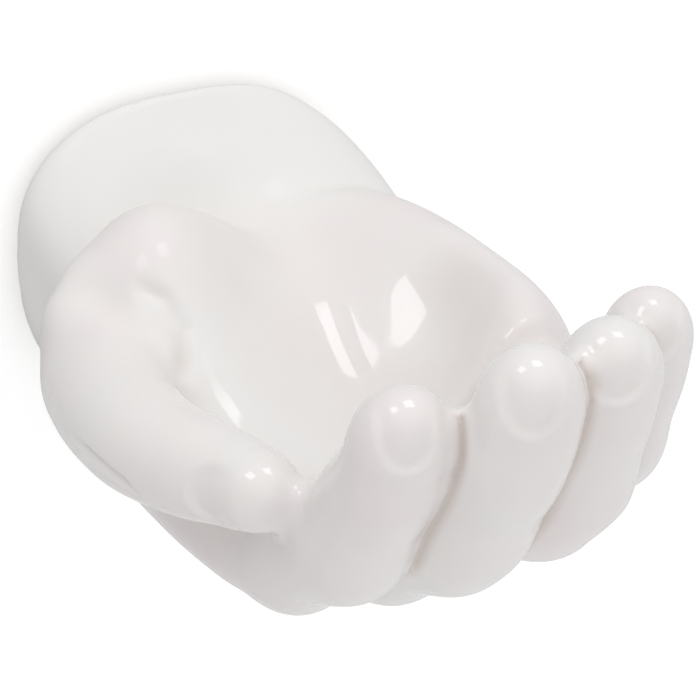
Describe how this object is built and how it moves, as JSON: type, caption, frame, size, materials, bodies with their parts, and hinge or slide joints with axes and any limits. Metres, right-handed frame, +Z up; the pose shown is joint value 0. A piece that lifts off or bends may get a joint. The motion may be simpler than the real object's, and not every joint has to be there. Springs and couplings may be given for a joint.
{
  "type": "wall-hung ceramic hand",
  "caption": "Life-size cupped ceramic right hand, palm up, growing from a flared hollow wrist with a flat oval rim; a steel bar in its open back drops onto a hook plate on the wall.",
  "frame": {"origin": "the middle of the oval rim, on the wall: a point of the hook plate's back face", "axes": "+Z up, +Y into the wall so the hand stands out along -Y, +X towards the little finger"},
  "size_m": [0.1075, 0.1797, 0.0914],
  "materials": {
    "glaze": "gloss",
    "cement": "matte",
    "bar_steel": "satin",
    "plate_steel": "satin"
  },
  "bodies": {
    "wall_plate": {"wall_plate": "plate_steel"},
    "hand": {"wrist_cuff": "glaze", "palm_shell": "glaze", "thumb": "glaze", "index_finger": "glaze", "middle_finger": "glaze", "ring_finger": "glaze", "little_finger": "glaze", "hanger_bar": "bar_steel", "bar_cement_left": "cement", "bar_cement_right": "cement"}
  },
  "joints": [
    {"name": "hand_lift", "type": "slide", "parent": "wall_plate", "child": "hand", "axis": [0, 0, 1], "range_m": [0, 0.008]}
  ]
}
